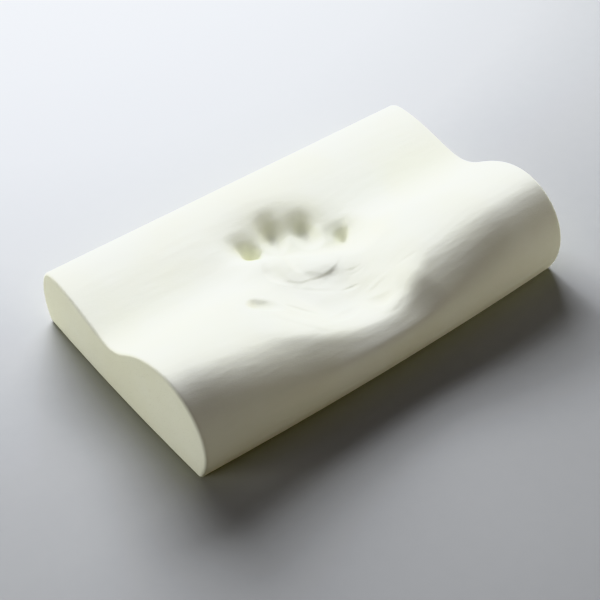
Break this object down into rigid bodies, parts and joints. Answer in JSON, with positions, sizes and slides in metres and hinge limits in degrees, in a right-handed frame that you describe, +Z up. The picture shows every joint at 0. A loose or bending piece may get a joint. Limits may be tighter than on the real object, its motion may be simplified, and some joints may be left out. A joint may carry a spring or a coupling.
{
  "type": "cervical pillow",
  "caption": "Contoured cervical pillow: a bare block of slow-recovery foam with a high and a low lobe, a neck valley between them and a handprint pressed into its top.",
  "frame": {"origin": "centre of the box round the pillow, on the flat base", "axes": "+X along the pillow's length, +Y from the high lobe's side to the low lobe's side, +Z up"},
  "size_m": [0.5, 0.3099, 0.1057],
  "materials": {
    "moulded_foam": "bare slow-recovery foam with a fine matte skin, off-white with a slightly yellow cream in the shade"
  },
  "bodies": {
    "root": {"foam_pillow": "moulded_foam"}
  },
  "joints": []
}
